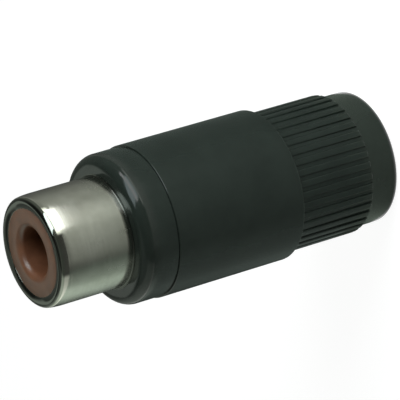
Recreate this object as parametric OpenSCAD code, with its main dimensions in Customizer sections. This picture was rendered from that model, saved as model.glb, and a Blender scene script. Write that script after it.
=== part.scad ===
// In-line RCA socket, standing on its cable end with the mouth up.
// The origin is the centre of the rear face and +Z runs along the axis to the mouth.

/* [Outer contact] */
// Outside diameter of the tube that a plug's shell slides over
contact_d = 8.3; // [8.2:0.05:8.4]
// Length of the tube in front of the collar
contact_reach = 6; // [5:0.1:7]
// Wall of the tube around the insulator
contact_wall = 0.82; // [0.8:0.02:0.9]
// How far the lead-in cone narrows from the tube, measured on the radius
lead_in_drop = 0.11; // [0.07:0.01:0.15]
// Length from the mouth to the end of the lead-in cone
lead_in_l = 0.76; // [0.6:0.02:1.2]
// Radius of the lip's outer edge
lip_outer_r = 0.36; // [0.26:0.02:0.36]
// Radius of the lip's inner edge
lip_inner_r = 0.28; // [0.16:0.02:0.28]
// Thickness of the web between tube and stem
web_t = 0.6; // [0.5:0.1:0.9]
// Outside diameter of the stem inside the collar
stem_d = 7; // [6.7:0.1:7.2]
// Wall of the stem
stem_wall = 0.6; // [0.4:0.05:0.7]
// How far the swaged edge stands out from the stem
swage_reach = 0.3; // [0.2:0.05:0.35]
// Thickness of the swaged edge
swage_t = 0.35; // [0.3:0.05:0.5]

/* [Collar] */
// Outside diameter of the collar
collar_d = 11.2; // [10.8:0.1:11.4]
// Length of the collar in front of the seam
collar_l = 2.9; // [2.4:0.1:3.6]
// Radius of the collar's front edge
collar_round = 0.9; // [0.6:0.05:1]
// Outside diameter of the threaded spigot
spigot_d = 9.6; // [9.2:0.1:9.8]
// Length of the spigot behind the seam
spigot_l = 4.8; // [4:0.1:5.6]
// Width of the bevel on the spigot's rear edge
spigot_bevel = 0.3; // [0.2:0.05:0.5]

/* [Cover] */
// Diameter of the smooth barrel
barrel_d = 11.4; // [11.1:0.1:12]
// Length of the smooth barrel
barrel_l = 10.8; // [10:0.1:12]
// Radius of the barrel's rear edge
barrel_round = 0.14; // [0.08:0.02:0.3]
// Radius of the barrel's front edge, at the seam
seam_round = 0.06; // [0.04:0.01:0.12]
// Diameter over the crests of the ribs
grip_d = 10.6; // [10.4:0.1:10.8]
// Length of the ribbed grip
grip_l = 6.4; // [5.5:0.1:7.5]
// Diameter of the plain ring, which is also the floor of the grooves
ring_d = 10; // [9.8:0.1:10.2]
// Length of the plain ring
ring_l = 2.5; // [2:0.1:3]
// Radius of the ring's rear edge
ring_round = 0.4; // [0.3:0.05:0.8]
// Number of ribs around the grip
rib_count = 40; // [24:4:48]
// Width of a groove at the crests
groove_w = 0.34; // [0.24:0.02:0.4]
// Width of a groove at its floor
groove_floor_w = 0.2; // [0.14:0.02:0.24]
// Height of the wide bore's floor above the barrel's rear shoulder
bore_floor = 0.5; // [0.3:0.1:0.8]
// Diameter of the narrow bore inside the grip
narrow_bore_d = 8.4; // [8:0.1:8.6]
// Thickness of the rear wall
rear_wall = 1.6; // [1.2:0.1:1.8]
// Diameter of the cable hole
cable_hole_d = 5.5; // [5:0.1:6]
// Width of the bevel at the mouth of the cable hole
cable_bevel = 0.4; // [0.2:0.05:0.6]

/* [Front insulator] */
// Depth of the insulator's face behind the lip
face_recess = 0.05; // [0.05:0.05:0.2]
// Diameter of the hole for a plug's pin
pin_hole_d = 3.6; // [3.56:0.02:3.8]
// Radius of the pin hole's edge at the face
hole_round = 0.5; // [0.2:0.05:0.7]
// Length of the insulator's boss inside the stem
boss_l = 2.8; // [2:0.1:3.4]

/* [Centre contact] */
// Bore of the spring tube
pin_bore_d = 3.24; // [3.22:0.01:3.3]
// Wall of the spring tube
spring_wall = 0.33; // [0.28:0.01:0.36]
// Depth of the spring tube's tip behind the insulator's face
tip_depth = 2.4; // [1.8:0.1:3]
// Space between the spring tube's tip and the insulator in front of it
tip_gap = 0.2; // [0.1:0.05:0.3]
// Radial room for the spring fingers in the insulator
finger_room = 0.12; // [0.08:0.02:0.16]
// Number of slots that part the fingers, in crossing pairs
slot_pairs = 2; // [1:1:3]
// Width of a slot
slot_w = 0.5; // [0.3:0.05:0.6]
// Length of a slot
slot_l = 4.2; // [3.4:0.1:4.6]
// Diameter of the flange held between the two insulators
flange_d = 5.1; // [4.8:0.1:5.3]
// Thickness of the flange
flange_t = 0.6; // [0.4:0.1:0.8]
// Length of the heel behind the flange
heel_l = 4; // [3.2:0.1:4.6]
// Thickness of the floor of the pin bore
heel_floor = 0.6; // [0.4:0.1:0.8]
// Diameter of the tail
tail_d = 2.2; // [1.9:0.1:2.5]
// Length of the tail behind the stem
tail_reach = 4.2; // [3.6:0.1:5]
// Bore of the solder cup
cup_d = 1.5; // [1.1:0.1:1.6]
// Depth of the solder cup
cup_l = 3.2; // [2.8:0.1:3.5]
// Length over which the cup is cut open at one side
cup_open_l = 2.2; // [1.6:0.1:2.6]

/* [Earth tag] */
// Thickness of the sheet
tag_t = 0.35; // [0.25:0.05:0.45]
// Outside diameter of the tag's ring
tag_ring_d = 9; // [8.8:0.1:9.2]
// Width of the arm
arm_w = 2.4; // [2:0.1:2.6]
// Length of the arm behind the ring, as far as its first bend
arm_l = 2.2; // [1.8:0.1:2.6]
// Length over which the arm slants towards the axis
slant_l = 1.6; // [1.2:0.1:2]
// Length of the arm from the slant to the clamp, where the wire hole is
land_l = 2; // [1.8:0.1:2.2]
// Diameter of the wire hole
wire_hole_d = 1.2; // [0.9:0.1:1.4]
// Inside diameter of the cable clamp
clamp_d = 5; // [4.6:0.1:5.4]
// Length of the cable clamp
clamp_l = 2.4; // [2:0.1:2.6]
// Opening between the clamp's wings, in degrees
clamp_gap = 110; // [80:5:140]

/* [Fits] */
// Radial play between the spigot and the cover's bore
thread_play = 0.08; // [0.05:0.01:0.1]
// Radial play between pieces that are pressed or slipped together and don't move
seat_play = 0.03; // [0.02:0.01:0.05]

/* [Hidden] */
$fn = 96;

// How far a cut runs past the face that it opens
over = 0.5;
// How far one stretch of a solid reaches into the next, so that they join
bite = 0.1;

// Heights of the faces, counted up from the rear face
ring_top = ring_l;
grip_top = ring_top + grip_l;
seam_z = grip_top + barrel_l;
collar_face_z = seam_z + collar_l;
mouth_z = collar_face_z + contact_reach;
lead_in_z = mouth_z - lead_in_l;
web_top_z = collar_face_z + web_t;
spigot_end_z = seam_z - spigot_l;
tag_z = spigot_end_z - tag_t;
stem_end_z = tag_z - swage_t;
wide_bore_z = grip_top + bore_floor;
insulator_face_z = mouth_z - face_recess;
boss_end_z = web_top_z - boss_l;
flange_z = boss_end_z - flange_t;
heel_z = flange_z - heel_l;
tip_z = insulator_face_z - tip_depth;
tail_end_z = stem_end_z - tail_reach;
bend_z = tag_z - arm_l;
land_z = bend_z - slant_l;
clamp_top_z = land_z - land_l;
clamp_end_z = clamp_top_z - clamp_l;

// Radii
contact_r = contact_d / 2;
lead_in_r = contact_r - lead_in_drop;
chamber_r = contact_r - contact_wall;
stem_r = stem_d / 2;
stem_bore_r = stem_r - stem_wall;
collar_r = collar_d / 2;
spigot_r = spigot_d / 2;
barrel_r = barrel_d / 2;
grip_r = grip_d / 2;
ring_r = ring_d / 2;
wide_bore_r = spigot_r + thread_play;
narrow_bore_r = narrow_bore_d / 2;
cable_hole_r = cable_hole_d / 2;
pin_hole_r = pin_hole_d / 2;
pin_bore_r = pin_bore_d / 2;
spring_r = pin_bore_r + spring_wall;
flange_r = flange_d / 2;
tail_r = tail_d / 2;
cup_r = cup_d / 2;
tag_ring_r = tag_ring_d / 2;
clamp_r = clamp_d / 2;
clamp_outer_r = clamp_r + tag_t;

// Outer face of the earth tag's arm, set so that the arm's corners lie on the ring's edge
arm_y = sqrt(pow(tag_ring_r, 2) - pow(arm_w / 2, 2));

// The half section of a tube between two heights, with the axis at x = 0.
module wall(inner, outer, bottom, top) {
    translate([inner, bottom]) square([outer - inner, top - bottom]);
}

// What a rounded edge removes from a corner at the point given. The two signs lead from the corner into the solid.
module corner_waste(point, radius, sign_x, sign_y) {
    translate(point)
        scale([sign_x, sign_y])
            difference() {
                translate([-over, -over]) square(radius + over);
                translate([radius, radius]) circle(radius);
            }
}

// What a bevel removes from a corner, with the signs as above.
module bevel_waste(point, width, sign_x, sign_y) {
    translate(point)
        scale([sign_x, sign_y])
            polygon([[-over, -over], [width + over, -over], [width, 0], [0, width], [-over, width + over]]);
}

// The section of one groove, wide at the crests and narrow at its floor.
module groove_section() {
    spread = (groove_w - groove_floor_w) / (grip_r - ring_r);
    low_y = ring_r - bite;
    high_y = grip_r + over;
    half_low = (groove_floor_w - spread * bite) / 2;
    half_high = (groove_w + spread * over) / 2;
    polygon([[-half_low, low_y], [half_low, low_y], [half_high, high_y], [-half_high, high_y]]);
}

// The ribs, as a band around the ring's radius with rounded rear ends.
module ribs() {
    rib_round = grip_r - ring_r;
    difference() {
        rotate_extrude()
            difference() {
                wall(ring_r - bite, grip_r, ring_top, grip_top + bite);
                corner_waste([grip_r, ring_top], rib_round, -1, 1);
            }
        for (i = [0 : rib_count - 1])
            rotate(360 / rib_count * i)
                translate([0, 0, ring_top - over])
                    linear_extrude(over + grip_l)
                        groove_section();
    }
}

// Rear shell: smooth barrel, ribbed grip and plain ring, bored for the collar's spigot and the cable.
module cover() {
    color([0.09, 0.11, 0.10])
        union() {
            rotate_extrude()
                difference() {
                    union() {
                        wall(cable_hole_r, ring_r, 0, rear_wall);
                        wall(narrow_bore_r, ring_r, 0, wide_bore_z);
                        wall(wide_bore_r, barrel_r, grip_top, seam_z);
                    }
                    corner_waste([ring_r, 0], ring_round, -1, 1);
                    bevel_waste([cable_hole_r, 0], cable_bevel, 1, 1);
                    corner_waste([barrel_r, grip_top], barrel_round, -1, 1);
                    corner_waste([barrel_r, seam_z], seam_round, -1, -1);
                }
            ribs();
        }
}

// Front moulding: rounded collar, and behind it the spigot that the cover screws on.
module collar() {
    color([0.10, 0.12, 0.11])
        rotate_extrude()
            difference() {
                union() {
                    wall(stem_r + seat_play, collar_r, seam_z, collar_face_z);
                    wall(stem_r + seat_play, spigot_r, spigot_end_z, seam_z + over);
                }
                corner_waste([collar_r, collar_face_z], collar_round, -1, -1);
                bevel_waste([spigot_r, spigot_end_z], spigot_bevel, -1, 1);
            }
}

// Outer contact: rolled lip, lead-in cone, tube that stands on the collar's face, web, stem and swaged edge.
module contact_sleeve() {
    color([0.78, 0.77, 0.70])
        rotate_extrude()
            difference() {
                union() {
                    wall(chamber_r, contact_r, collar_face_z, lead_in_z);
                    polygon([
                        [chamber_r, lead_in_z], [contact_r, lead_in_z],
                        [lead_in_r, mouth_z], [chamber_r, mouth_z]
                    ]);
                    wall(stem_bore_r, contact_r, collar_face_z, web_top_z);
                    wall(stem_bore_r, stem_r, stem_end_z, web_top_z);
                    wall(stem_bore_r, stem_r + swage_reach, stem_end_z, tag_z);
                }
                corner_waste([lead_in_r, mouth_z], lip_outer_r, -1, -1);
                corner_waste([chamber_r, mouth_z], lip_inner_r, 1, -1);
            }
}

// Red-brown moulding in the mouth, with the round-edged pin hole and a boss inside the stem.
module front_insulator() {
    color([0.45, 0.25, 0.18])
        rotate_extrude()
            difference() {
                union() {
                    wall(pin_hole_r, chamber_r - seat_play, web_top_z, insulator_face_z);
                    wall(pin_hole_r, stem_bore_r - seat_play, boss_end_z, web_top_z + over);
                }
                wall(0, spring_r + finger_room, boss_end_z - over, tip_z + tip_gap);
                corner_waste([pin_hole_r, insulator_face_z], hole_round, 1, -1);
            }
}

// Spring tube for the plug's pin, with its flange, heel, tail and solder cup.
module centre_contact() {
    color([0.80, 0.66, 0.36])
        difference() {
            rotate_extrude()
                difference() {
                    union() {
                        wall(0, spring_r, heel_z, tip_z);
                        wall(0, flange_r, flange_z, boss_end_z);
                        wall(0, tail_r, tail_end_z, heel_z + over);
                    }
                    wall(0, pin_bore_r, heel_z + heel_floor, tip_z + over);
                    wall(0, cup_r, tail_end_z - over, tail_end_z + cup_l);
                }
            for (i = [0 : slot_pairs - 1])
                rotate(180 / slot_pairs * i)
                    translate([-spring_r - over, -slot_w / 2, tip_z - slot_l])
                        cube([2 * (spring_r + over), slot_w, slot_l + over]);
            translate([-tail_r - over, -tail_r - over, tail_end_z - over])
                cube([2 * (tail_r + over), tail_r + over, cup_open_l + over]);
        }
}

// Bush in the stem that seats the contact's heel and keeps its tail clear of the stem.
module rear_insulator() {
    color([0.72, 0.62, 0.44])
        rotate_extrude() {
            wall(spring_r + seat_play, stem_bore_r - seat_play, heel_z, flange_z);
            wall(tail_r + seat_play, stem_bore_r - seat_play, stem_end_z, heel_z);
        }
}

// The side view of the bent arm: its outer edge down, then its inner edge back up.
module arm_section() {
    polygon([
        [arm_y, spigot_end_z],
        [arm_y, bend_z],
        [clamp_outer_r, land_z],
        [clamp_outer_r, clamp_end_z],
        [clamp_r, clamp_end_z],
        [clamp_r, land_z],
        [arm_y - tag_t, bend_z],
        [arm_y - tag_t, spigot_end_z]
    ]);
}

// Folded sheet: ring under the collar, arm with a wire hole, and the two wings of the cable clamp.
module earth_tag() {
    color([0.75, 0.75, 0.72])
        union() {
            translate([0, 0, tag_z])
                difference() {
                    cylinder(r = tag_ring_r, h = tag_t);
                    translate([0, 0, -over]) cylinder(r = stem_r + seat_play, h = tag_t + 2 * over);
                }
            difference() {
                translate([-arm_w / 2, 0, 0])
                    rotate([90, 0, 90])
                        linear_extrude(arm_w)
                            arm_section();
                translate([0, clamp_r - over, land_z - land_l / 2])
                    rotate([-90, 0, 0])
                        cylinder(d = wire_hole_d, h = tag_t + 2 * over);
            }
            translate([0, 0, clamp_end_z])
                difference() {
                    cylinder(r = clamp_outer_r, h = clamp_l);
                    translate([0, 0, -over]) cylinder(r = clamp_r, h = clamp_l + 2 * over);
                    translate([0, 0, -over])
                        linear_extrude(clamp_l + 2 * over)
                            polygon([
                                [0, 0],
                                2 * clamp_outer_r * [sin(clamp_gap / 2), -cos(clamp_gap / 2)],
                                2 * clamp_outer_r * [-sin(clamp_gap / 2), -cos(clamp_gap / 2)]
                            ]);
                }
        }
}

cover();
collar();
contact_sleeve();
front_insulator();
centre_contact();
rear_insulator();
earth_tag();
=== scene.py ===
"""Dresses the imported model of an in-line RCA socket and builds the studio that it is shown in.

The socket stands on its cable end, with its axis along +Z and its mouth up. Sizes are in millimetres
where a name doesn't say otherwise. The objects themselves are in metres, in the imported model's frame.
"""

import logging
import math
from collections.abc import Sequence
from dataclasses import dataclass, fields
from enum import Enum

import bmesh
import bpy
from mathutils import Matrix, Vector


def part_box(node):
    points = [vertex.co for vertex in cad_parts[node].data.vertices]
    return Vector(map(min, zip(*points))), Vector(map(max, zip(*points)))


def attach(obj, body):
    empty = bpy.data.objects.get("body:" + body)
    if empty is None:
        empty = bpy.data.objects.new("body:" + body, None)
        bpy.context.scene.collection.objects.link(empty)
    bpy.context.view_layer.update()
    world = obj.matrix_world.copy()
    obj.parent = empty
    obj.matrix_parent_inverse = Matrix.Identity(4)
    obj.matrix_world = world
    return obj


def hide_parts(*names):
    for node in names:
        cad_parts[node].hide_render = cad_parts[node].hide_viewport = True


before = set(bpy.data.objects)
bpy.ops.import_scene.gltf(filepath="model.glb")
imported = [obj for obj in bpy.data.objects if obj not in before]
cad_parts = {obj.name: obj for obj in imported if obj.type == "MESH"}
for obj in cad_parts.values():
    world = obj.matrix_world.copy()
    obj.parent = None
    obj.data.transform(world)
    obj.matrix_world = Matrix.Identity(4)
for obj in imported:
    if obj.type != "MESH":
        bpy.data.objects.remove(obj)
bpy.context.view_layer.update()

LOG = logging.getLogger("rca_socket")
MM = 0.001
AXIS = Vector((0.0, 0.0, 1.0))
ORIGIN = Vector((0.0, 0.0, 0.0))
# Points that lie closer than this are one point
MERGE = 1e-5
# Play between two pieces that are pressed or slipped together
SEAT_PLAY = 0.03

Colour = tuple[float, float, float]
Socket = bpy.types.NodeSocket
Value = Socket | float | tuple[float, ...]


class Body(Enum):
    """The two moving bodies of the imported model."""

    COVER = "cover"
    INSERT = "front_insert"


class Slot(Enum):
    """The record's material slots."""

    BLACK = "black_plastic"
    NICKEL = "nickel_plate"
    BROWN = "brown_plastic"
    BRASS = "contact_brass"
    LAMINATE = "laminate"
    TINNED = "tinned_sheet"


@dataclass(frozen=True)
class Extent:
    """How far a CAD node reaches, in millimetres.

    Attributes:
        radius: Its radius, measured along +X.
        low: Height of its lowest face.
        high: Height of its highest face.
    """

    radius: float
    low: float
    high: float


def extent(node: str) -> Extent:
    """Read a node's reach from the frame.

    Args:
        node: The node.

    Returns:
        Its reach, to a thousandth of a millimetre.
    """
    lowest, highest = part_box(node)
    return Extent(*(round(value / MM, 3) for value in (highest[0], lowest[2], highest[2])))


COVER = extent("cover")
COLLAR = extent("collar")
CONTACT = extent("contact_sleeve")
INSULATOR = extent("front_insulator")
BUSH = extent("rear_insulator")


# Shaping


@dataclass(frozen=True)
class Corner:
    """A corner of a half section.

    Attributes:
        out: Distance from the axis.
        up: Height above the rear face.
        soft: Radius that rounds the corner, where 0 leaves it sharp.
        cuts: Number of segments in the rounding.
    """

    out: float
    up: float
    soft: float = 0.0
    cuts: int = 5


class Piece:
    """One shown piece: a mesh in millimetres while it is shaped, and then an object in metres."""

    turn_steps = 240

    def __init__(self, name: str) -> None:
        """Start an empty piece with the name that its object gets."""
        self.name = name
        self.mesh = bmesh.new()

    def absorb(self, part: bmesh.types.BMesh) -> None:
        """Add a closed shape to the piece, with its faces turned outwards, and free the shape.

        Args:
            part: The shape, which isn't used again.
        """
        bmesh.ops.remove_doubles(part, verts=part.verts[:], dist=MERGE)
        bmesh.ops.recalc_face_normals(part, faces=part.faces[:])
        holder = bpy.data.meshes.new("holder")
        part.to_mesh(holder)
        part.free()
        self.mesh.from_mesh(holder)
        bpy.data.meshes.remove(holder)

    def turn(self, corners: Sequence[Corner]) -> None:
        """Spin a half section round the axis.

        Args:
            corners: The closed half section, corner by corner.
        """
        part = bmesh.new()
        spots = [part.verts.new((c.out, 0.0, c.up)) for c in corners]
        part.faces.new(spots)
        for i, corner in enumerate(corners):
            if corner.soft > 0.0:
                before = Vector((corners[i - 1].out - corner.out, corners[i - 1].up - corner.up))
                after = corners[(i + 1) % len(corners)]
                angle = before.angle(Vector((after.out - corner.out, after.up - corner.up)))
                bmesh.ops.bevel(
                    part, geom=[spots[i]], offset=corner.soft / math.tan(angle / 2.0), offset_type="OFFSET",
                    segments=corner.cuts, profile=0.5, affect="VERTICES", material=-1,
                )
        bmesh.ops.delete(part, geom=part.faces[:], context="FACES_ONLY")
        bmesh.ops.spin(
            part, geom=part.verts[:] + part.edges[:], cent=ORIGIN, axis=AXIS, dvec=ORIGIN,
            angle=math.tau, steps=self.turn_steps, use_merge=True, use_duplicate=False,
        )
        self.absorb(part)

    def finish(
        self, finish: bpy.types.Material, body: Body, slot: Slot, *nodes: str, crease: float = 32.0
    ) -> None:
        """Make the piece's object at the origin, dress it and set it on its body.

        Args:
            finish: The material that it gets.
            body: The body that it rides on.
            slot: The record's slot that the material belongs to; it is not used.
            nodes: The CAD nodes that it stands for.
            crease: Angle in degrees above which an edge is shaded sharp.
        """
        bmesh.ops.scale(self.mesh, vec=(MM, MM, MM), verts=self.mesh.verts[:])
        mesh = bpy.data.meshes.new(self.name)
        self.mesh.to_mesh(mesh)
        self.mesh.free()
        mesh.shade_smooth()
        mesh.set_sharp_from_angle(angle=math.radians(crease))
        mesh.materials.append(finish)
        made = bpy.data.objects.new(self.name, mesh)
        bpy.context.scene.collection.objects.link(made)
        made.modifiers.new("true_walls", "WEIGHTED_NORMAL").keep_sharp = True
        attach(made, body.value)
        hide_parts(*nodes)
        LOG.info("%s: %d faces on %s", self.name, len(mesh.polygons), body.value)


@dataclass(frozen=True)
class Thread:
    """A right-handed helical ridge.

    Attributes:
        root: Distance from the axis to the ridge's foot, which lies inside the wall that carries it.
        crest: Distance from the axis to its crest.
        begin: Height of the ridge's middle at its lower end, on the +X side.
        turns: Number of turns.
        root_width: Width of the foot.
        crest_width: Width of the crest.
        pitch: Rise in one turn.
        turn_steps: Number of steps in one turn.
    """

    root: float
    crest: float
    begin: float
    turns: float
    root_width: float = 0.57
    crest_width: float = 0.16
    pitch: float = 0.75
    turn_steps: int = 72

    def cut(self, piece: Piece) -> None:
        """Add the ridge to a piece.

        Args:
            piece: The piece that carries it.
        """
        part = bmesh.new()
        foot, tip = self.root_width / 2.0, self.crest_width / 2.0
        outline = ((self.root, -foot), (self.crest, -tip), (self.crest, tip), (self.root, foot))
        section = [part.verts.new((out, 0.0, self.begin + up)) for out, up in outline]
        sides = [part.edges.new((section[i - 1], section[i])) for i in range(len(section))]
        bmesh.ops.spin(
            part, geom=section + sides, cent=ORIGIN, axis=AXIS, dvec=AXIS * (self.pitch / self.turn_steps),
            angle=math.tau * self.turns, steps=round(self.turn_steps * self.turns),
            use_merge=False, use_duplicate=False,
        )
        ends = [edge for edge in part.edges if edge.is_boundary]
        bmesh.ops.holes_fill(part, edges=ends, sides=len(section))
        piece.absorb(part)


# Finishes


class Curve(Enum):
    """How a value runs from one end to the other, as the Map Range node's interpolation."""

    STRAIGHT = "LINEAR"
    SOFT = "SMOOTHSTEP"


class Sheet:
    """A node tree that is being wired."""

    def __init__(self, tree: bpy.types.NodeTree) -> None:
        """Take an empty tree."""
        self.tree = tree

    def add(
        self, kind: str, values: dict[str | int, object] | None = None, **settings: object
    ) -> bpy.types.Node:
        """Place a node.

        Args:
            kind: The node's type, such as ShaderNodeTexNoise.
            values: Values of its inputs, by name or by number.
            settings: The node's own settings.

        Returns:
            The node.
        """
        node = self.tree.nodes.new(kind)
        for name, value in settings.items():
            setattr(node, name, value)
        for key, value in (values or {}).items():
            node.inputs[key].default_value = value
        return node

    def join(self, source: Value, target: Socket) -> None:
        """Lead an output to an input, or set the input to a plain value.

        Args:
            source: The output, or the value.
            target: The input.
        """
        if isinstance(source, Socket):
            self.tree.links.new(source, target)
        else:
            target.default_value = source

    def parts(self, vector: Socket) -> bpy.types.NodeOutputs:
        """Part a vector into its three numbers.

        Args:
            vector: The vector.

        Returns:
            Its X, Y and Z.
        """
        node = self.add("ShaderNodeSeparateXYZ")
        self.join(vector, node.inputs[0])
        return node.outputs

    def math(self, operation: str, first: Value, second: Value = 0.0) -> Socket:
        """Do one step of arithmetic.

        Args:
            operation: The Math node's operation.
            first: A socket or a number.
            second: A socket or a number.

        Returns:
            The result.
        """
        node = self.add("ShaderNodeMath", operation=operation)
        self.join(first, node.inputs[0])
        self.join(second, node.inputs[1])
        return node.outputs[0]

    def remap(
        self, number: Socket, start: float, end: float,
        low: Value = 0.0, high: Value = 1.0, curve: Curve = Curve.STRAIGHT,
    ) -> Socket:
        """Lead from one value to another as a number crosses a range.

        Args:
            number: The number.
            start: Where the change starts.
            end: Where it ends.
            low: The value before it starts.
            high: The value after it ends.
            curve: How it runs between them.

        Returns:
            The value.
        """
        span = {"From Min": start, "From Max": end}
        node = self.add("ShaderNodeMapRange", span, interpolation_type=curve.value)
        for source, name in ((number, "Value"), (low, "To Min"), (high, "To Max")):
            self.join(source, node.inputs[name])
        return node.outputs["Result"]

    def mix(self, fac: Socket, low: Colour | Socket, high: Colour | Socket) -> Socket:
        """Mix two colours.

        Args:
            fac: The mask that leads from the first to the second.
            low: The first colour.
            high: The second colour.

        Returns:
            The colour.
        """
        node = self.add("ShaderNodeMix", data_type="RGBA")
        self.join(fac, node.inputs[0])
        for number, colour in ((6, low), (7, high)):
            self.join(colour if isinstance(colour, Socket) else (*colour, 1.0), node.inputs[number])
        return node.outputs[2]

    def ramp(self, fac: Socket, stops: Sequence[tuple[float, Colour]]) -> Socket:
        """Turn a number into a colour.

        Args:
            fac: The number, from 0 to 1.
            stops: Places from 0 to 1, in order, each with its colour.

        Returns:
            The colour.
        """
        node = self.add("ShaderNodeValToRGB")
        elements = node.color_ramp.elements
        while len(elements) < len(stops):
            elements.new(0.5)
        for element, (place, colour) in zip(elements, stops):
            element.position = place
            element.color = (*colour, 1.0)
        self.join(fac, node.inputs[0])
        return node.outputs[0]


@dataclass(frozen=True)
class Cloud:
    """Soft noise.

    Attributes:
        scale: How fine it is, as a noise scale on coordinates in metres.
        detail: How rich it is, as a noise detail.
    """

    scale: float
    detail: float


@dataclass(frozen=True)
class Turned:
    """The rings that a lathe tool leaves, on sides and on faces alike.

    Attributes:
        fineness: How close they lie, as a noise scale on coordinates in metres.
        drift: How far they stray on their way round.
    """

    fineness: float
    drift: float


@dataclass(frozen=True)
class Rubs:
    """Faint streaks of handling that run mostly along the axis.

    Attributes:
        scale: How fine they are, as a noise scale on coordinates in metres.
        amount: Roughness that a streak adds.
    """

    scale: float
    amount: float


class Patterns:
    """The shader groups that the finishes share. Each is built once.

    Attributes:
        groups: The group that draws each kind of pattern.
    """

    # Where plain noise starts and ends in practice
    noise_range = (0.3, 0.7)
    # The part of the noise that turns into streaks, how it is drawn out, and how it leans in radians
    streak_range = (0.56, 0.72)
    streak_scale = (1.0, 1.0, 0.12)
    streak_lean = (0.35, 0.2, 0.0)

    def __init__(self) -> None:
        """Build the groups."""
        self.groups: dict[type, bpy.types.NodeTree] = {
            Cloud: self._cloud(), Turned: self._turned(), Rubs: self._rubs(),
        }

    @staticmethod
    def _start(
        kind: type, *outputs: str
    ) -> tuple[Sheet, bpy.types.NodeOutputs, bpy.types.NodeInputs]:
        """Start the group of a kind of pattern.

        Args:
            kind: The pattern's class. Its fields become number inputs, beside the vector "Place".
            outputs: Names of the group's number outputs.

        Returns:
            The sheet to wire it on, the group's own inputs and its results.
        """
        tree = bpy.data.node_groups.new(kind.__name__, "ShaderNodeTree")
        tree.interface.new_socket("Place", in_out="INPUT", socket_type="NodeSocketVector")
        for side, names in (("INPUT", [part.name for part in fields(kind)]), ("OUTPUT", outputs)):
            for name in names:
                tree.interface.new_socket(name, in_out=side, socket_type="NodeSocketFloat")
        sheet = Sheet(tree)
        return sheet, sheet.add("NodeGroupInput").outputs, sheet.add("NodeGroupOutput").inputs

    def _cloud(self) -> bpy.types.NodeTree:
        """Build soft noise, which also serves as a height.

        Returns:
            The group.
        """
        sheet, given, result = self._start(Cloud, "Value", "Height")
        noise = sheet.add("ShaderNodeTexNoise", {"Roughness": 0.55})
        for source, name in (("Place", "Vector"), ("scale", "Scale"), ("detail", "Detail")):
            sheet.join(given[source], noise.inputs[name])
        spread = sheet.remap(noise.outputs["Fac"], *self.noise_range)
        for name in ("Value", "Height"):
            sheet.join(spread, result[name])
        return sheet.tree

    def _turned(self) -> bpy.types.NodeTree:
        """Build the rings, from noise that hangs on the radius and the height.

        Returns:
            The group.
        """
        sheet, given, result = self._start(Turned, "Value", "Height")
        x, y, z = sheet.parts(given["Place"])
        squares = [sheet.math("MULTIPLY", side, side) for side in (x, y)]
        radius = sheet.math("SQRT", sheet.math("ADD", *squares))
        place = sheet.add("ShaderNodeCombineXYZ")
        for number, (run, side) in enumerate(((radius, x), (z, y))):
            drift = sheet.math("MULTIPLY", side, given["drift"])
            sheet.join(sheet.math("ADD", run, drift), place.inputs[number])
        rings = sheet.add("ShaderNodeTexNoise", {"Detail": 4.0, "Roughness": 0.6}, noise_dimensions="2D")
        sheet.join(place.outputs[0], rings.inputs["Vector"])
        sheet.join(given["fineness"], rings.inputs["Scale"])
        sheet.join(sheet.remap(rings.outputs["Fac"], *self.noise_range), result["Value"])
        sheet.join(rings.outputs["Fac"], result["Height"])
        return sheet.tree

    def _rubs(self) -> bpy.types.NodeTree:
        """Build the streaks, from noise that is drawn out along the axis.

        Returns:
            The group.
        """
        sheet, given, result = self._start(Rubs, "Mask")
        stretch = sheet.add("ShaderNodeMapping", {"Scale": self.streak_scale, "Rotation": self.streak_lean})
        noise = sheet.add("ShaderNodeTexNoise", {"Detail": 5.0, "Roughness": 0.65})
        sheet.join(given["Place"], stretch.inputs["Vector"])
        sheet.join(stretch.outputs["Vector"], noise.inputs["Vector"])
        sheet.join(given["scale"], noise.inputs["Scale"])
        streaks = sheet.remap(noise.outputs["Fac"], *self.streak_range)
        sheet.join(sheet.math("MULTIPLY", streaks, given["amount"]), result["Mask"])
        return sheet.tree


class Surface:
    """A material in the making, with one Principled BSDF on Object coordinates."""

    def __init__(self, name: str, patterns: Patterns, values: dict[str, object]) -> None:
        """Start a material whose uniform numbers are set on the shader itself."""
        self.patterns = patterns
        self.material = bpy.data.materials.new(name)
        self.material.use_nodes = True
        self.material.node_tree.nodes.clear()
        self.sheet = Sheet(self.material.node_tree)
        self.shader = self.sheet.add("ShaderNodeBsdfPrincipled", values)
        output = self.sheet.add("ShaderNodeOutputMaterial")
        self.sheet.join(self.shader.outputs[0], output.inputs["Surface"])
        self.place = self.sheet.add("ShaderNodeTexCoord").outputs["Object"]

    def lay(self, pattern: Cloud | Turned | Rubs) -> bpy.types.NodeOutputs:
        """Place a shared pattern.

        Args:
            pattern: The pattern.

        Returns:
            Its group's results.
        """
        group = self.patterns.groups[type(pattern)]
        node = self.sheet.add("ShaderNodeGroup", vars(pattern), node_tree=group)
        self.sheet.join(self.place, node.inputs["Place"])
        return node.outputs

    def height(self) -> Socket:
        """Give the height above the rear face, in millimetres."""
        return self.sheet.math("DIVIDE", self.sheet.parts(self.place)[2], MM)

    def relief(self, height: Socket, depth: float) -> None:
        """Raise fine relief.

        Args:
            height: The height.
            depth: The depth in millimetres that a height of 1 stands for.
        """
        bump = self.sheet.add("ShaderNodeBump", {"Strength": 1.0, "Distance": depth * MM})
        self.sheet.join(height, bump.inputs["Height"])
        self.sheet.join(bump.outputs["Normal"], self.shader.inputs["Normal"])


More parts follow.
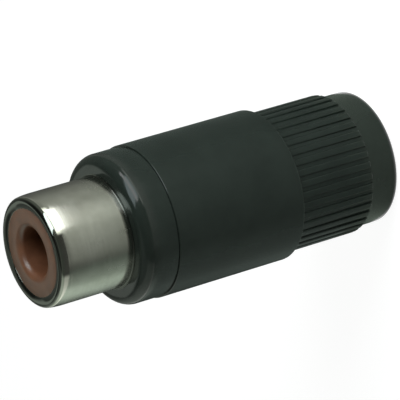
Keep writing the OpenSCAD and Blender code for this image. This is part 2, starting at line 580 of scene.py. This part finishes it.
@dataclass(frozen=True)
class Finish:
    """What every finish has.

    Attributes:
        slot: The record's slot that it belongs to.
        deep: Colour of its darker parts.
        pale: Colour of its paler parts.
        mottle: Pattern of its colour.
        smooth: Roughness of its smoothest parts.
        dull: Roughness of its dullest parts.
        sheen: Pattern of its roughness.
        skin: Pattern of its fine relief.
        skin_depth: Depth of that relief.
        rubs: Its rubs, if it shows any.
        metallic: 1 for a metal, and otherwise 0.
        ior: Index of refraction.
    """

    slot: Slot
    deep: Colour
    pale: Colour
    mottle: Cloud | Turned
    smooth: float
    dull: float
    sheen: Cloud | Turned
    skin: Cloud | Turned
    skin_depth: float
    rubs: Rubs | None = None
    metallic: float = 0.0
    ior: float = 1.5

    def material(self, patterns: Patterns) -> bpy.types.Material:
        """Build the material.

        Args:
            patterns: The shared shader groups.

        Returns:
            The material.
        """
        surface = Surface(self.slot.value, patterns, {"Metallic": self.metallic, "IOR": self.ior})
        surface.sheet.join(self.colour(surface), surface.shader.inputs["Base Color"])
        surface.sheet.join(self.roughness(surface), surface.shader.inputs["Roughness"])
        surface.relief(surface.lay(self.skin)["Height"], self.skin_depth)
        return surface.material

    def colour(self, surface: Surface) -> Socket:
        """Mix the colour of a surface from the deep and the pale one."""
        return surface.sheet.mix(surface.lay(self.mottle)["Value"], self.deep, self.pale)

    def roughness(self, surface: Surface) -> Socket:
        """Work out the roughness of a surface.

        Args:
            surface: The surface.

        Returns:
            The roughness.
        """
        rough = surface.sheet.remap(surface.lay(self.sheen)["Value"], 0.0, 1.0, self.smooth, self.dull)
        if self.rubs is None:
            return rough
        return surface.sheet.math("ADD", rough, surface.lay(self.rubs)["Mask"])


@dataclass(frozen=True)
class BlackPlastic(Finish):
    """Moulded plastic, very dark greenish black, with a half gloss."""

    slot: Slot = Slot.BLACK
    deep: Colour = (0.0155, 0.0205, 0.0170)
    pale: Colour = (0.0200, 0.0262, 0.0217)
    mottle: Cloud = Cloud(420.0, 4.0)
    smooth: float = 0.12
    dull: float = 0.17
    sheen: Cloud = Cloud(900.0, 5.0)
    skin: Cloud = Cloud(5200.0, 2.0)
    skin_depth: float = 0.5e-3
    rubs: Rubs = Rubs(1500.0, 0.06)


@dataclass(frozen=True)
class NickelPlate(Finish):
    """Satin nickel on turned brass, with the rings of the lathe tool and faint rubs.

    Attributes:
        burnished: Roughness of the lip.
        burnish: Heights between which the satin gives way to the burnished lip.
        shaded: Painted shade: a dark colour laid on the lip's crest and the tube's foot to dim what they
            mirror.
        crest: Heights between which the painted shade on the crest sets in.
        foot: Heights between which the painted shade on the foot sets in.
    """

    slot: Slot = Slot.NICKEL
    deep: Colour = (0.50, 0.505, 0.44)
    pale: Colour = (0.60, 0.605, 0.54)
    mottle: Cloud = Cloud(600.0, 5.0)
    smooth: float = 0.17
    dull: float = 0.25
    sheen: Turned = Turned(7000.0, 0.02)
    skin: Turned = Turned(7000.0, 0.02)
    skin_depth: float = 1.0e-3
    rubs: Rubs = Rubs(1400.0, 0.08)
    metallic: float = 1.0
    burnished: float = 0.09
    burnish: tuple[float, float] = (CONTACT.high - 0.80, CONTACT.high - 0.74)
    shaded: Colour = (0.15, 0.155, 0.14)
    crest: tuple[float, float] = (CONTACT.high - 0.10, CONTACT.high - 0.02)
    foot: tuple[float, float] = (COLLAR.high + 0.14, COLLAR.high + 0.10)

    def colour(self, surface: Surface) -> Socket:
        """Mix the colour of a surface, and paint shade on the crest and the foot.

        Args:
            surface: The surface.

        Returns:
            The colour.
        """
        sheet = surface.sheet
        # Painted shade: the crest and the foot get a dark colour that dims their reflections
        painted_shade_masks = [sheet.remap(surface.height(), *heights) for heights in (self.crest, self.foot)]
        return sheet.mix(sheet.math("MAXIMUM", *painted_shade_masks), super().colour(surface), self.shaded)

    def roughness(self, surface: Surface) -> Socket:
        """Work out the roughness of a surface, and burnish the lip."""
        satin = super().roughness(surface)
        return surface.sheet.remap(surface.height(), *self.burnish, satin, self.burnished)


@dataclass(frozen=True)
class BrownPlastic(Finish):
    """Red-brown moulded insulator, satin, a little mottled."""

    slot: Slot = Slot.BROWN
    deep: Colour = (0.158, 0.064, 0.033)
    pale: Colour = (0.224, 0.092, 0.047)
    mottle: Cloud = Cloud(1300.0, 5.0)
    smooth: float = 0.28
    dull: float = 0.40
    sheen: Cloud = Cloud(2600.0, 3.0)
    skin: Cloud = Cloud(9000.0, 2.0)
    skin_depth: float = 0.7e-3
    ior: float = 1.80


@dataclass(frozen=True)
class ContactBrass(Finish):
    """Bright turned spring brass, a little tarnished."""

    slot: Slot = Slot.BRASS
    deep: Colour = (0.48, 0.33, 0.13)
    pale: Colour = (0.72, 0.54, 0.25)
    mottle: Cloud = Cloud(900.0, 5.0)
    smooth: float = 0.20
    dull: float = 0.32
    sheen: Turned = Turned(9000.0, 0.02)
    skin: Turned = Turned(9000.0, 0.02)
    skin_depth: float = 1.5e-3
    metallic: float = 1.0


@dataclass(frozen=True)
class Laminate(Finish):
    """Matte resin-bonded laminate, turned from sheet, with its plies across the axis."""

    slot: Slot = Slot.LAMINATE
    deep: Colour = (0.27, 0.165, 0.075)
    pale: Colour = (0.50, 0.35, 0.19)
    mottle: Turned = Turned(3600.0, 0.06)
    smooth: float = 0.48
    dull: float = 0.68
    sheen: Cloud = Cloud(2000.0, 4.0)
    skin: Turned = Turned(3600.0, 0.06)
    skin_depth: float = 6.0e-3
    ior: float = 1.55


@dataclass(frozen=True)
class TinnedSheet(Finish):
    """Tinned sheet metal: dull, softly spangled, with rolling streaks."""

    slot: Slot = Slot.TINNED
    deep: Colour = (0.46, 0.46, 0.45)
    pale: Colour = (0.66, 0.66, 0.64)
    mottle: Cloud = Cloud(1600.0, 2.0)
    smooth: float = 0.30
    dull: float = 0.42
    sheen: Cloud = Cloud(800.0, 4.0)
    skin: Cloud = Cloud(7000.0, 3.0)
    skin_depth: float = 2.0e-3
    rubs: Rubs = Rubs(2600.0, 0.16)
    metallic: float = 1.0


class Finishes:
    """Every finish of the socket, built once.

    Attributes:
        by_slot: The material of each slot.
    """

    def __init__(self) -> None:
        """Build the materials."""
        patterns = Patterns()
        kinds = (BlackPlastic, NickelPlate, BrownPlastic, ContactBrass, Laminate, TinnedSheet)
        self.by_slot: dict[Slot, bpy.types.Material] = {
            finish.slot: finish.material(patterns) for finish in (kind() for kind in kinds)
        }

    def dress_node(self, name: str, slot: Slot) -> None:
        """Give a CAD node that stays in view its finish.

        Args:
            name: The node.
            slot: The finish's slot.
        """
        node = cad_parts[name]
        node.data.materials.clear()
        node.data.materials.append(self.by_slot[slot])
        LOG.info("%s: CAD node dressed as %s", name, slot.value)


# The socket


@dataclass
class RearCover:
    """The black shell that screws on from the rear: barrel, ribbed grip and plain end ring."""

    barrel_r: float = COVER.radius
    barrel_round: float = 0.14
    seam: float = COVER.high
    seam_round: float = 0.06
    ring_r: float = 5.0
    ring_round: float = 0.4
    ring_top: float = 2.5
    ring_edge: float = 0.03
    wide_bore_r: float = 4.88
    wide_bore_floor: float = 9.4
    narrow_bore_r: float = 4.2
    bore_edge: float = 0.1
    mouth_bevel: float = 0.15
    rear_wall: float = 1.6
    wall_round: float = 0.2
    hole_r: float = 2.75
    hole_bevel: float = 0.4
    hole_edge: float = 0.08
    bevel_edge: float = 0.06
    grip_r: float = 5.3
    grip_top: float = 8.9
    groove_r: float = 5.17
    groove_end: float = 0.08
    groove_top: float = 0.34
    groove_floor: float = 0.2
    rib_count: int = 40
    rib_sink: float = 0.1
    rib_soft: float = 0.13
    rib_end: float = 0.12
    thread: Thread = Thread(root=4.93, crest=4.53, begin=10.475, turns=11.5)

    def build(self, finishes: Finishes) -> None:
        """Model the shell and dress it.

        Args:
            finishes: The finishes to pick from.
        """
        piece = Piece("rear_cover")
        piece.turn((
            Corner(self.hole_r + self.hole_bevel, 0.0, self.bevel_edge, 3),
            Corner(self.hole_r, self.hole_bevel, self.bore_edge, 3),
            Corner(self.hole_r, self.rear_wall, self.hole_edge, 3),
            Corner(self.narrow_bore_r, self.rear_wall, self.wall_round),
            Corner(self.narrow_bore_r, self.wide_bore_floor, self.bore_edge, 3),
            Corner(self.wide_bore_r, self.wide_bore_floor, self.bore_edge, 3),
            Corner(self.wide_bore_r, self.seam - self.mouth_bevel),
            Corner(self.wide_bore_r + self.mouth_bevel, self.seam),
            Corner(self.barrel_r, self.seam, self.seam_round, 3),
            Corner(self.barrel_r, self.grip_top, self.barrel_round),
            Corner(self.groove_r, self.grip_top, self.groove_end, 3),
            Corner(self.groove_r, self.ring_top, self.ring_edge, 2),
            Corner(self.ring_r, self.ring_top, self.ring_edge, 2),
            Corner(self.ring_r, 0.0, self.ring_round, 8),
        ))
        self._ribs(piece)
        self.thread.cut(piece)
        piece.finish(finishes.by_slot[Slot.BLACK], Body.COVER, Slot.BLACK, "cover")

    def _ribs(self, piece: Piece) -> None:
        """Set the ribs round the grip, from the barrel's shoulder to the plain ring.

        Args:
            piece: The shell.
        """
        foot_r = self.ring_r - self.rib_sink
        pitch = math.tau / self.rib_count
        crest = pitch * self.grip_r - self.groove_top
        floor = pitch * self.ring_r - self.groove_floor
        foot = floor + (floor - crest) / (self.grip_r - self.ring_r) * self.rib_sink
        length = self.grip_top - self.ring_top + self.rib_sink
        middle = Vector(((self.grip_r + foot_r) / 2.0, 0.0, self.ring_top + length / 2.0))
        part = bmesh.new()
        bmesh.ops.create_cube(part, size=1.0)
        bmesh.ops.scale(part, vec=(self.grip_r - foot_r, foot, length), verts=part.verts[:])
        bmesh.ops.translate(part, vec=middle, verts=part.verts[:])
        top = [vert for vert in part.verts if vert.co.x > middle.x]
        bmesh.ops.scale(part, vec=(1.0, crest / foot, 1.0), verts=top)
        rear = [e for e in part.edges if all(v in top and v.co.z < middle.z for v in e.verts)]
        self._soften(part, rear, self.rib_end, 4)
        level = self.grip_r - MERGE
        sides = [
            e for e in part.edges if all(v.co.x > level for v in e.verts) and e.calc_length() > length / 2.0
        ]
        self._soften(part, sides, self.rib_soft, 3)
        copies = self.rib_count - 1
        bmesh.ops.spin(
            part, geom=part.verts[:] + part.edges[:] + part.faces[:], cent=ORIGIN, axis=AXIS, dvec=ORIGIN,
            angle=pitch * copies, steps=copies, use_merge=False, use_duplicate=True,
        )
        piece.absorb(part)

    @staticmethod
    def _soften(part: bmesh.types.BMesh, edges: list[bmesh.types.BMEdge], reach: float, cuts: int) -> None:
        """Round some edges of a shape.

        Args:
            part: The shape.
            edges: The edges.
            reach: How far the rounding reaches from each edge.
            cuts: Number of segments in the rounding.
        """
        bmesh.ops.bevel(
            part, geom=edges, offset=reach, offset_type="OFFSET", segments=cuts,
            profile=0.5, affect="EDGES", material=-1,
        )


@dataclass
class FrontCollar:
    """The black front moulding: rounded collar, and the threaded spigot that the cover screws on."""

    collar_r: float = COLLAR.radius
    face: float = COLLAR.high
    face_round: float = 0.9
    seam: float = COVER.high
    seam_round: float = 0.05
    core_r: float = 4.45
    core_edge: float = 0.08
    spigot_end: float = COLLAR.low
    end_bevel: float = 0.25
    bore_r: float = 3.53
    thread: Thread = Thread(root=4.40, crest=4.80, begin=15.35, turns=5.0)

    def build(self, finishes: Finishes) -> None:
        """Model the moulding and dress it.

        Args:
            finishes: The finishes to pick from.
        """
        piece = Piece("front_collar")
        piece.turn((
            Corner(self.bore_r, self.spigot_end, self.core_edge, 3),
            Corner(self.core_r - self.end_bevel, self.spigot_end),
            Corner(self.core_r, self.spigot_end + self.end_bevel),
            Corner(self.core_r, self.seam, self.core_edge, 3),
            Corner(self.collar_r, self.seam, self.seam_round, 3),
            Corner(self.collar_r, self.face, self.face_round, 14),
            Corner(self.bore_r, self.face),
        ))
        self.thread.cut(piece)
        piece.finish(finishes.by_slot[Slot.BLACK], Body.INSERT, Slot.BLACK, "collar")


@dataclass
class OuterContact:
    """The turned, nickel-plated outer contact: lip, lead-in cone, tube, stem and swaged edge."""

    tube_r: float = CONTACT.radius
    chamber_r: float = INSULATOR.radius + SEAT_PLAY
    mouth: float = CONTACT.high + 0.06
    lead_in: float = CONTACT.high - 0.76
    lead_in_r: float = CONTACT.radius - 0.11
    lead_in_blend: float = 6.0
    lip_outer: float = 0.36
    lip_crest_r: float = 3.64
    lip_crest_round: float = 0.6
    lip_inner_r: float = 3.26
    lip_inner_z: float = INSULATOR.high
    lip_inner_edge: float = 0.02
    lip_inner_wall: float = 0.04
    lip_undercut: float = 0.1
    seat: float = COLLAR.high
    foot_reach: float = 0.13
    foot_round: float = 0.11
    foot_edge: float = 0.02
    web_top: float = COLLAR.high + 0.6
    web_round: float = 0.1
    stem_r: float = 3.5
    stem_bore_r: float = BUSH.radius + SEAT_PLAY
    stem_end: float = CONTACT.low
    stem_edge: float = 0.06
    swage_r: float = 3.8
    swage_top: float = CONTACT.low + 0.35
    swage_round: float = 0.2

    def build(self, finishes: Finishes) -> None:
        """Model the contact and dress it.

        Args:
            finishes: The finishes to pick from.
        """
        piece = Piece("outer_contact")
        piece.turn((
            Corner(self.stem_bore_r, self.stem_end, self.stem_edge, 3),
            Corner(self.swage_r, self.stem_end, self.swage_round),
            Corner(self.swage_r, self.swage_top, self.stem_edge, 3),
            Corner(self.stem_r, self.swage_top),
            Corner(self.stem_r, self.seat),
            Corner(self.tube_r + self.foot_reach, self.seat),
            Corner(self.tube_r + self.foot_reach, self.seat + self.foot_edge),
            Corner(self.tube_r, self.seat + self.foot_edge, self.foot_round, 8),
            Corner(self.tube_r, self.lead_in, self.lead_in_blend, 12),
            Corner(self.lead_in_r, self.mouth, self.lip_outer, 10),
            Corner(self.lip_crest_r, self.mouth, self.lip_crest_round, 6),
            Corner(self.lip_inner_r, self.lip_inner_z, self.lip_inner_edge, 2),
            Corner(self.lip_inner_r, self.lip_inner_z - self.lip_inner_wall, self.lip_inner_edge, 2),
            Corner(self.chamber_r, self.lip_inner_z - self.lip_undercut),
            Corner(self.chamber_r, self.web_top, self.web_round, 3),
            Corner(self.stem_bore_r, self.web_top, self.stem_edge, 3),
        ))
        piece.finish(finishes.by_slot[Slot.NICKEL], Body.INSERT, Slot.NICKEL, "contact_sleeve", crease=40.0)


@dataclass
class FrontInsulator:
    """The red-brown moulding in the mouth, with the round-edged hole for a plug's pin."""

    chamber_r: float = INSULATOR.radius
    face: float = INSULATOR.high - 0.01
    face_edge: float = 0.02
    hole_r: float = 1.8
    hole_round: float = 0.5
    room_r: float = 2.07
    room_top: float = 26.3
    room_edge: float = 0.05
    web_top: float = COLLAR.high + 0.6
    boss_r: float = BUSH.radius
    boss_end: float = INSULATOR.low
    boss_edge: float = 0.1

    def build(self, finishes: Finishes) -> None:
        """Model the moulding and dress it.

        Args:
            finishes: The finishes to pick from.
        """
        piece = Piece("mouth_insulator")
        piece.turn((
            Corner(self.room_r, self.boss_end, self.room_edge, 2),
            Corner(self.boss_r, self.boss_end, self.boss_edge, 3),
            Corner(self.boss_r, self.web_top),
            Corner(self.chamber_r, self.web_top, self.room_edge, 2),
            Corner(self.chamber_r, self.face, self.face_edge, 2),
            Corner(self.hole_r, self.face, self.hole_round, 10),
            Corner(self.hole_r, self.room_top, self.room_edge, 2),
            Corner(self.room_r, self.room_top),
        ))
        piece.finish(finishes.by_slot[Slot.BROWN], Body.INSERT, Slot.BROWN, "front_insulator")


# The studio


def bearing(azimuth: float, elevation: float) -> Vector:
    """Give the direction away from the axis.

    Args:
        azimuth: Degrees round the axis, 0 towards the camera's side (-Y) and 90 towards +X.
        elevation: Degrees above the floor.

    Returns:
        A unit vector.
    """
    a, e = math.radians(azimuth), math.radians(elevation)
    return Vector((math.sin(a) * math.cos(e), -math.cos(a) * math.cos(e), math.sin(e)))


@dataclass
class PhotoCamera:
    """The camera that sees the socket from the photograph's angle.

    Attributes:
        elevation: Degrees above the floor.
        roll: Degrees that the camera is rolled, which lays the socket down in the picture.
        distance: Metres from the aim.
        lens: Focal length in millimetres.
        sensor: Width of the sensor in millimetres.
        aim_height: Height of the aim above the floor, in metres.
        centre: The pixel that the aim falls on.
        frame_side: Width and height of the picture in pixels.
        clip: Nearest and farthest distance that it sees, in metres.
    """

    elevation: float = 29.59
    roll: float = -106.49
    distance: float = 0.260
    lens: float = 321.3
    sensor: float = 36.0
    aim_height: float = 0.01406
    centre: tuple[float, float] = (202.41, 202.51)
    frame_side: float = 400.0
    clip: tuple[float, float] = (0.01, 10.0)

    def build(self) -> None:
        """Set the camera up and make it the scene's own."""
        data = bpy.data.cameras.new("photo_camera")
        data.sensor_width, data.lens = self.sensor, self.lens
        data.clip_start, data.clip_end = self.clip
        camera = bpy.data.objects.new("photo_camera", data)
        bpy.context.scene.collection.objects.link(camera)
        back = bearing(0.0, self.elevation)
        roll = Matrix.Rotation(math.radians(self.roll), 3, "Z")
        turn = (-back).to_track_quat("-Z", "Y").to_matrix() @ roll
        pixel = self.sensor / self.lens * self.distance / self.frame_side
        right, up = turn @ Vector((1.0, 0.0, 0.0)), turn @ Vector((0.0, 1.0, 0.0))
        middle = self.frame_side / 2.0
        slide = (up * (self.centre[1] - middle) - right * (self.centre[0] - middle)) * pixel
        stand = AXIS * self.aim_height + back * self.distance + slide
        camera.matrix_world = Matrix.Translation(stand) @ turn.to_4x4()
        bpy.context.scene.camera = camera


@dataclass(frozen=True)
class Panel:
    """A panel lamp that stands beside the socket and faces its axis.

    Attributes:
        name: Its name.
        azimuth: Degrees round the axis, as for bearing().
        reach: Distance from the axis, in metres.
        up: Height of its middle above the floor, in metres.
        width: Width in metres.
        height: Height in metres.
        light: Radiance, where white is 1.
        mirrored: Whether the gloss shows it.
        tint: Colour of its light.
    """

    name: str
    azimuth: float
    reach: float
    up: float
    width: float
    height: float
    light: float
    mirrored: bool = False
    tint: Colour = (1.0, 1.0, 1.0)

    def stand(self) -> None:
        """Stand the lamp in its place."""
        data = bpy.data.lights.new(self.name, "AREA")
        data.shape, data.size, data.size_y = "RECTANGLE", self.width, self.height
        data.energy, data.color = self.light * math.pi * self.width * self.height, self.tint
        lamp = bpy.data.objects.new(self.name, data)
        bpy.context.scene.collection.objects.link(lamp)
        away = bearing(self.azimuth, 0.0)
        turn = (-away).to_track_quat("-Z", "Y").to_matrix()
        lamp.matrix_world = Matrix.Translation(away * self.reach + AXIS * self.up) @ turn.to_4x4()
        lamp.visible_camera, lamp.visible_glossy = False, self.mirrored


# Heights of the floor and of the cards that lie just above it
FLOOR_LEVEL = -0.06
CARD_LEVEL = -0.03
# Distances from the axis to the rims at which one card meets the next, and to the outermost rim
RING_RIM = 9.8
BARREL_RIM = 44.2
TUBE_RIM = 84.0
CONE_RIM = 150.0
FAR_RIM = 4300.0

Greys = tuple[tuple[float, float], ...]


def azimuth_ramp(sheet: Sheet, place: Socket, greys: Greys, tint: Colour) -> Socket:
    """Colour by azimuth.

    Args:
        sheet: The sheet to wire on.
        place: A position or direction.
        greys: Azimuths in degrees, each with its grey.
        tint: Colour of a grey of 1.

    Returns:
        The colour.
    """
    x, y, _ = sheet.parts(place)
    angle = sheet.math("ARCTAN2", x, sheet.math("MULTIPLY", y, -1.0))
    fac = sheet.math("ADD", sheet.math("DIVIDE", angle, math.tau), 0.5)
    return sheet.ramp(
        fac, [(azimuth / 360.0 + 0.5, tuple(part * grey for part in tint)) for azimuth, grey in greys]
    )


def stage_sheet(name: str, shape: bmesh.types.BMesh) -> bpy.types.Object:
    """Make a stage object of a shape, and free the shape.

    Args:
        name: The object's name.
        shape: Its shape, in metres.

    Returns:
        The object.
    """
    mesh = bpy.data.meshes.new(name)
    shape.to_mesh(mesh)
    shape.free()
    made = bpy.data.objects.new(name, mesh)
    bpy.context.scene.collection.objects.link(made)
    return made


def bare_material(made: bpy.types.Object) -> tuple[Sheet, Socket]:
    """Give a stage object a material of its own, with nothing wired yet.

    Args:
        made: The object.

    Returns:
        The sheet to wire the material on, and the input that takes its surface.
    """
    material = bpy.data.materials.new(made.name)
    material.use_nodes = True
    material.node_tree.nodes.clear()
    made.data.materials.append(material)
    sheet = Sheet(material.node_tree)
    return sheet, sheet.add("ShaderNodeOutputMaterial").inputs["Surface"]


@dataclass(frozen=True)
class Card:
    """A glowing ring round the socket, or a part of one, that only reflections show, so its greys paint
    reflections.

    Attributes:
        name: Its name.
        inner: Distance from the axis to its first rim.
        outer: Distance from the axis to its last rim.
        greys: Azimuths in degrees, each with the grey it glows with, which run softly from one to the next.
        tint: Colour of a grey of 1.
        levels: Heights of the first rim and the last.
        start: Angle at which the card starts, in degrees from +X towards +Y.
        sweep: Angle that it spans, in degrees.
        steps: Number of straight stretches in a rim.
    """

    name: str
    inner: float
    outer: float
    greys: Greys
    tint: Colour = (1.0, 1.04, 0.96)
    levels: tuple[float, float] = (CARD_LEVEL, CARD_LEVEL)
    start: float = 0.0
    sweep: float = 360.0
    steps: int = 96

    def lay(self) -> None:
        """Lay the card in its place."""
        shape = bmesh.new()
        rims = zip((self.inner, self.outer), self.levels)
        ends = [shape.verts.new((out * MM, 0.0, up * MM)) for out, up in rims]
        edge = shape.edges.new(ends)
        aside = Matrix.Rotation(math.radians(self.start), 3, "Z")
        bmesh.ops.rotate(shape, verts=ends, cent=ORIGIN, matrix=aside)
        bmesh.ops.spin(
            shape, geom=[*ends, edge], cent=ORIGIN, axis=AXIS, dvec=ORIGIN, angle=math.radians(self.sweep),
            steps=self.steps, use_merge=self.sweep >= 360.0, use_duplicate=False,
        )
        made = stage_sheet(self.name, shape)
        made.visible_camera = made.visible_diffuse = made.visible_transmission = False
        made.visible_shadow = made.visible_volume_scatter = False
        sheet, output = bare_material(made)
        place = sheet.add("ShaderNodeTexCoord").outputs["Object"]
        # Painted reflection: the card glows with its greys, and only the gloss sees it
        glow = sheet.add("ShaderNodeEmission")
        sheet.join(azimuth_ramp(sheet, place, self.greys, self.tint), glow.inputs["Color"])
        sheet.join(glow.outputs[0], output)


@dataclass
class Studio:
    """A plain pale floor, panel lamps, and the glowing sheets that paint the reflections in the gloss.

    Attributes:
        floor_reach: Distance from the axis to the floor's edge, in metres.
        floor_grey: Grey of the floor where it throws light on the socket.
        shadow_grey: Grey of the floor's lit share as the camera sees it, which carries the shadow.
        white: Brightness of the floor as the camera sees it, apart from its lit share.
        panels: The lamps: the softbox that the gloss shows, and the ones that only light.
        cards: The glowing cards round the socket, from the innermost out, and the glowing white flag below
            the lip.
        low_room: Greys, by azimuth, of the floor far off and of the room just above it.
        high_room: Greys of the room higher up, with the patch that flat faces mirror at the back.
        room_tint: Colour of a grey of 1 in the room.
        shelf: Sines of the elevations between which the low room gives way to the high one.
        dusk: Sines of the elevations between which the room darkens overhead.
        overhead: Share of the room's light that is left overhead.
    """

    floor_reach: float = 3.0
    floor_grey: float = 0.8
    shadow_grey: float = 0.3
    white: float = 0.92
    panels: tuple[Panel, ...] = (
        Panel("softbox", 50.0, 0.070, 0.091, 0.047, 0.146, 2.5, mirrored=True, tint=(0.82, 0.97, 1.0)),
        Panel("key", 53.0, 0.070, 0.058, 0.064, 0.106, 2.1),
        Panel("fill", -32.0, 0.130, 0.015, 0.060, 0.060, 2.4),
    )
    cards: tuple[Card, ...] = (
        Card("ring_card", 5.3, RING_RIM, (
            (-180.0, 0.04), (-137.0, 0.02), (-105.0, 0.15), (-85.0, 0.27), (-57.0, 0.25),
            (-10.0, 0.36), (45.0, 0.36), (89.0, 0.20), (121.0, 0.11), (180.0, 0.06),
        ), (0.92, 1.12, 0.93)),
        Card("barrel_card", RING_RIM, BARREL_RIM, (
            (-180.0, 0.08), (-150.0, 0.06), (-120.0, 0.25), (-75.0, 0.27), (-52.0, 0.17), (-20.0, 0.19),
            (45.0, 0.26), (90.0, 0.14), (180.0, 0.10),
        ), (0.90, 1.09, 0.98)),
        Card("tube_card", BARREL_RIM, TUBE_RIM, (
            (-53.0, 0.11), (-48.0, 0.12), (-38.0, 0.22), (44.0, 0.65), (72.0, 0.39), (90.0, 0.38),
            (138.0, 0.13), (180.0, 0.05),
        ), start=-143.0, sweep=233.0),
        Card("low_tube_card", BARREL_RIM, TUBE_RIM, (
            (-180.0, 0.05), (-152.0, 0.07), (-118.0, 0.59), (-103.0, 0.59), (-86.0, 0.32), (-58.0, 0.11),
        ), (0.93, 1.09, 0.96), start=90.0, sweep=127.0),
        Card("cone_card", TUBE_RIM, CONE_RIM, (
            (-180.0, 0.12), (-165.0, 0.22), (-122.0, 1.30), (-92.0, 0.74), (-66.0, 0.47), (-60.0, 0.06),
            (18.0, 0.05), (25.0, 2.20), (77.0, 2.20), (84.0, 0.27), (120.0, 0.30), (180.0, 0.12),
        )),
        Card(
            "lip_flag", 12.0, 12.0, ((-180.0, 3.0), (180.0, 3.0)), (1.0, 1.0, 1.0),
            levels=(23.3, 25.9), start=-67.0, sweep=42.0,
        ),
    )
    low_room: Greys = (
        (-180.0, 0.12), (-166.0, 0.14), (-148.0, 0.42), (-120.0, 0.62), (-68.0, 0.32), (-60.0, 0.06),
        (15.0, 0.05), (28.0, 0.10), (180.0, 0.12),
    )
    high_room: Greys = (
        (-180.0, 0.57), (-166.0, 0.57), (-156.0, 0.12), (-132.0, 0.50), (-75.0, 0.42), (-60.0, 0.08),
        (156.0, 0.08), (166.0, 0.57), (180.0, 0.57),
    )
    room_tint: Colour = (0.96, 1.08, 0.95)
    shelf: tuple[float, float] = (0.38, 0.43)
    dusk: tuple[float, float] = (0.56, 0.62)
    overhead: float = 0.40

    def build(self) -> None:
        """Build the floor, the cards, the lamps, the surroundings and the view settings."""
        self._floor()
        for card in self.cards:
            card.lay()
        Card("far_card", CONE_RIM, FAR_RIM, self.low_room, self.room_tint).lay()
        for panel in self.panels:
            panel.stand()
        self._surroundings()
        bpy.context.scene.view_settings.view_transform = "Standard"

    def _floor(self) -> None:
        """Lay the pale floor, which keeps the socket's shadow and is clear from below."""
        shape = bmesh.new()
        bmesh.ops.create_grid(shape, x_segments=1, y_segments=1, size=self.floor_reach)
        bmesh.ops.translate(shape, vec=AXIS * FLOOR_LEVEL * MM, verts=shape.verts[:])
        sheet, output = bare_material(stage_sheet("floor", shape))
        rays = sheet.add("ShaderNodeLightPath").outputs
        mirrored = sheet.math("MAXIMUM", rays["Is Glossy Ray"], rays["Is Transmission Ray"])
        seen = sheet.math("MAXIMUM", rays["Is Camera Ray"], mirrored)
        lit, shaded = (
            sheet.add("ShaderNodeBsdfDiffuse", {"Color": (grey, grey, grey, 1.0)})
            for grey in (self.floor_grey, self.shadow_grey)
        )
        glow = sheet.add("ShaderNodeEmission", {"Strength": self.white})
        white = sheet.add("ShaderNodeAddShader")
        sheet.join(shaded.outputs[0], white.inputs[0])
        sheet.join(glow.outputs[0], white.inputs[1])
        behind = sheet.add("ShaderNodeNewGeometry").outputs["Backfacing"]
        clear = sheet.add("ShaderNodeBsdfTransparent")
        surface = lit
        for mask, other in ((seen, white), (behind, clear)):
            choice = sheet.add("ShaderNodeMixShader")
            sheet.join(mask, choice.inputs[0])
            sheet.join(surface.outputs[0], choice.inputs[1])
            sheet.join(other.outputs[0], choice.inputs[2])
            surface = choice
        sheet.join(surface.outputs[0], output)

    def _surroundings(self) -> None:
        """Light the room softly, dark behind the camera and overhead and pale elsewhere."""
        world = bpy.data.worlds.new("studio")
        world.use_nodes = True
        world.node_tree.nodes.clear()
        sheet = Sheet(world.node_tree)
        place = sheet.add("ShaderNodeTexCoord").outputs["Generated"]
        height = sheet.parts(place)[2]
        rise = sheet.remap(height, *self.shelf, curve=Curve.SOFT)
        low, high = (
            azimuth_ramp(sheet, place, greys, self.room_tint) for greys in (self.low_room, self.high_room)
        )
        strength = sheet.remap(height, *self.dusk, 1.0, self.overhead, curve=Curve.SOFT)
        glow = sheet.add("ShaderNodeBackground")
        sheet.join(sheet.mix(rise, low, high), glow.inputs["Color"])
        sheet.join(strength, glow.inputs["Strength"])
        output = sheet.add("ShaderNodeOutputWorld")
        sheet.join(glow.outputs[0], output.inputs["Surface"])
        bpy.context.scene.world = world


def main() -> None:
    """Build the socket and its studio."""
    logging.basicConfig(level=logging.INFO, format="%(name)s: %(message)s")
    finishes = Finishes()
    for assembly in (RearCover(), FrontCollar(), OuterContact(), FrontInsulator()):
        assembly.build(finishes)
    finishes.dress_node("centre_contact", Slot.BRASS)
    finishes.dress_node("rear_insulator", Slot.LAMINATE)
    finishes.dress_node("earth_tag", Slot.TINNED)
    Studio().build()
    PhotoCamera().build()


if __name__ == "__main__":
    main()
